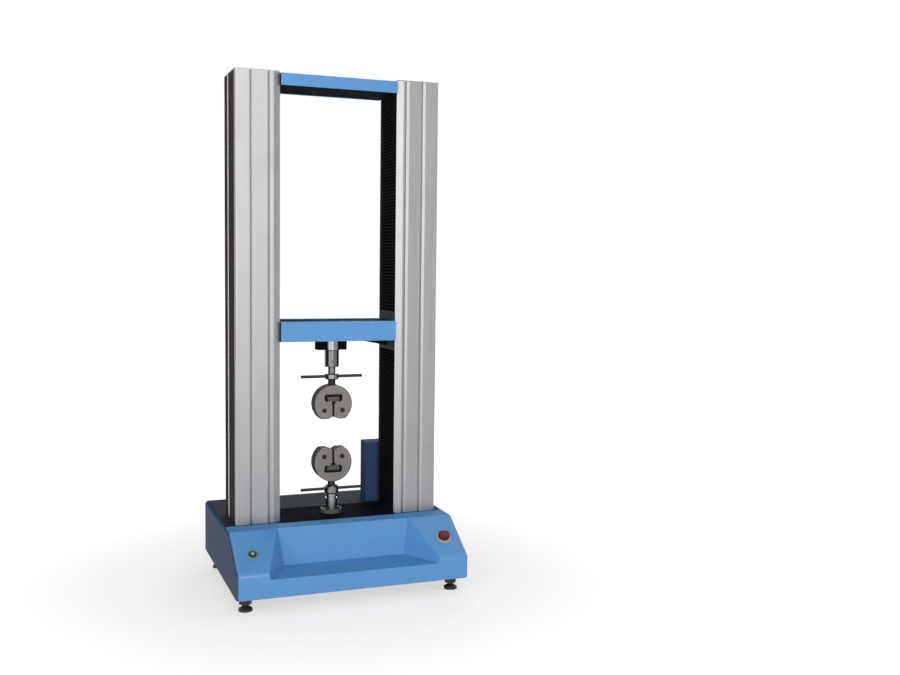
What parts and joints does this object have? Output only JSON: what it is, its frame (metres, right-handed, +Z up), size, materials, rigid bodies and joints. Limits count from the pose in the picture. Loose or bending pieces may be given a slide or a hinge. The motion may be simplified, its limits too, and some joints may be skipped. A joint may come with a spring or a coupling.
{
  "type": "universal testing machine",
  "caption": "Floor-standing twin-column testing machine: a moving crosshead on screws, wedge grips with turning handles, bellows-covered columns and a sloped base with a tray.",
  "frame": {"origin": "on the floor, under the middle of the base", "axes": "+Z up along the columns, -Y towards the operator's side, +X to the operator's right"},
  "size_m": [0.9, 0.74, 2],
  "materials": {
    "blue_paint": "gloss enamel",
    "dark_cover": "satin dark sheet",
    "silver_profile": "satin anodised",
    "black_plate": "blackened steel",
    "steel": "machined",
    "grip_steel": "ground, plated",
    "chrome": "hard chromed",
    "bellows": "black moulded rubber",
    "grey_metal": "dark grey satin",
    "pulley_metal": "machined",
    "belt": "toothed belt rubber",
    "black_plastic": "moulded",
    "green_plastic": "moulded",
    "red_plastic": "moulded",
    "collar_plastic": "moulded",
    "cabinet_paint": "dark blue enamel",
    "foot_black": "black oxide"
  },
  "bodies": {
    "frame": {"base_casing": "blue_paint", "base_frame": "grey_metal", "bed_plate": "black_plate", "rear_panel": "blue_paint", "power_inlet": "black_plastic", "levelling_feet": "foot_black", "column_front_left": "silver_profile", "column_front_right": "silver_profile", "column_cover_left": "dark_cover", "column_cover_right": "dark_cover", "column_caps": "dark_cover", "guide_rods": "chrome", "top_beam": "black_plate", "top_cover": "blue_paint", "screw_bearing_housings": "grey_metal", "servo_motor": "grey_metal", "motor_bracket": "grey_metal", "drive_belt": "belt", "servo_drive": "black_plastic", "bellows_upper_left": "bellows", "bellows_upper_right": "bellows", "bellows_lower_left": "bellows", "bellows_lower_right": "bellows", "limit_rod": "steel", "lower_adaptor": "steel", "lower_adaptor_bolts": "foot_black", "lower_grip_body": "grip_steel", "start_button_bezel": "chrome", "estop_collar": "collar_plastic", "button_contact_blocks": "black_plastic", "cabinet_body": "cabinet_paint", "control_module": "black_plastic"},
    "crosshead": {"crosshead_beam": "grey_metal", "crosshead_covers": "blue_paint", "ball_nuts": "steel", "guide_bushes": "steel", "bellows_flanges": "grey_metal", "limit_striker": "steel", "load_cell": "steel", "load_cell_yoke": "black_plate", "upper_coupling": "steel", "upper_grip_body": "grip_steel"},
    "left_screw": {"ball_screw_left": "steel", "screw_pulley_left": "pulley_metal"},
    "right_screw": {"ball_screw_right": "steel", "screw_pulley_right": "pulley_metal"},
    "motor_rotor": {"motor_pulley": "pulley_metal"},
    "upper_handle": {"upper_handle": "steel"},
    "upper_pusher": {"upper_pusher": "steel"},
    "upper_jaw_left": {"upper_jaw_left": "grip_steel"},
    "upper_jaw_right": {"upper_jaw_right": "grip_steel"},
    "lower_handle": {"lower_handle": "steel"},
    "lower_pusher": {"lower_pusher": "steel"},
    "lower_jaw_left": {"lower_jaw_left": "grip_steel"},
    "lower_jaw_right": {"lower_jaw_right": "grip_steel"},
    "start_button": {"start_button_plunger": "green_plastic"},
    "estop_stem": {"estop_stem": "black_plastic"},
    "estop_head": {"estop_head": "red_plastic"},
    "cabinet_door": {"cabinet_door": "cabinet_paint"},
    "cabinet_latch": {"cabinet_latch": "chrome"}
  },
  "joints": [
    {"name": "crosshead_travel", "type": "slide", "parent": "frame", "child": "crosshead", "axis": [0, 0, 1], "range_m": [-0.095, 0.5], "deforming": ["bellows_upper_left", "bellows_upper_right", "bellows_lower_left", "bellows_lower_right"]},
    {"name": "left_screw_turn", "type": "hinge", "parent": "frame", "child": "left_screw", "pos_m": [-0.3195, 0.007, 0.3], "axis": [0, 0, 1], "continuous": true},
    {"name": "right_screw_turn", "type": "hinge", "parent": "frame", "child": "right_screw", "pos_m": [0.3195, 0.007, 0.3], "axis": [0, 0, 1], "continuous": true},
    {"name": "motor_turn", "type": "hinge", "parent": "frame", "child": "motor_rotor", "pos_m": [0, 0.189, 0.1], "axis": [0, 0, 1], "continuous": true},
    {"name": "upper_handle_turn", "type": "hinge", "parent": "crosshead", "child": "upper_handle", "pos_m": [0, 0.007, 0.823], "axis": [0, 0, 1], "range_deg": [0, 990]},
    {"name": "upper_pusher_slide", "type": "slide", "parent": "crosshead", "child": "upper_pusher", "axis": [0, 0, -1], "range_m": [0, 0.0111]},
    {"name": "upper_jaw_left_slide", "type": "slide", "parent": "crosshead", "child": "upper_jaw_left", "axis": [0.2588, 0, -0.9659], "range_m": [0, 0.0115]},
    {"name": "upper_jaw_right_slide", "type": "slide", "parent": "crosshead", "child": "upper_jaw_right", "axis": [-0.2588, 0, -0.9659], "range_m": [0, 0.0115]},
    {"name": "lower_handle_turn", "type": "hinge", "parent": "frame", "child": "lower_handle", "pos_m": [0, 0.007, 0.366], "axis": [0, 0, -1], "range_deg": [0, 990]},
    {"name": "lower_pusher_slide", "type": "slide", "parent": "frame", "child": "lower_pusher", "axis": [0, 0, 1], "range_m": [0, 0.0111]},
    {"name": "lower_jaw_left_slide", "type": "slide", "parent": "frame", "child": "lower_jaw_left", "axis": [0.2588, 0, 0.9659], "range_m": [0, 0.0115]},
    {"name": "lower_jaw_right_slide", "type": "slide", "parent": "frame", "child": "lower_jaw_right", "axis": [-0.2588, 0, 0.9659], "range_m": [0, 0.0115]},
    {"name": "start_button_press", "type": "slide", "parent": "frame", "child": "start_button", "axis": [0, 0.5316, -0.847], "range_m": [0, 0.003], "stiffness_N_per_m": 600, "springref_m": -0.002},
    {"name": "estop_press", "type": "slide", "parent": "frame", "child": "estop_stem", "axis": [0, 0.5316, -0.847], "range_m": [0, 0.005], "stiffness_N_per_m": 1200, "springref_m": -0.002},
    {"name": "estop_twist", "type": "hinge", "parent": "estop_stem", "child": "estop_head", "pos_m": [0.377, -0.2853, 0.20316], "axis": [0, -0.5316, 0.847], "range_deg": [0, 45], "stiffness_Nm_per_rad": 0.05},
    {"name": "cabinet_door_swing", "type": "hinge", "parent": "frame", "child": "cabinet_door", "pos_m": [0.43, 0.2318, 0.394], "axis": [0, 0, -1], "range_deg": [0, 110]},
    {"name": "cabinet_latch_turn", "type": "hinge", "parent": "cabinet_door", "child": "cabinet_latch", "pos_m": [0.206, 0.2318, 0.394], "axis": [0, -1, 0], "range_deg": [0, 90]}
  ],
  "couplings": [
    {"joint": "left_screw_turn", "follows": "crosshead_travel", "rad_per_m": -628.32},
    {"joint": "right_screw_turn", "follows": "crosshead_travel", "rad_per_m": -628.32},
    {"joint": "motor_turn", "follows": "crosshead_travel", "rad_per_m": -1005.3},
    {"joint": "upper_pusher_slide", "follows": "upper_handle_turn", "m_per_rad": 0.00063662},
    {"joint": "upper_jaw_left_slide", "follows": "upper_handle_turn", "m_per_rad": 0.00065908},
    {"joint": "upper_jaw_right_slide", "follows": "upper_handle_turn", "m_per_rad": 0.00065908},
    {"joint": "lower_pusher_slide", "follows": "lower_handle_turn", "m_per_rad": 0.00063662},
    {"joint": "lower_jaw_left_slide", "follows": "lower_handle_turn", "m_per_rad": 0.00065908},
    {"joint": "lower_jaw_right_slide", "follows": "lower_handle_turn", "m_per_rad": 0.00065908}
  ]
}
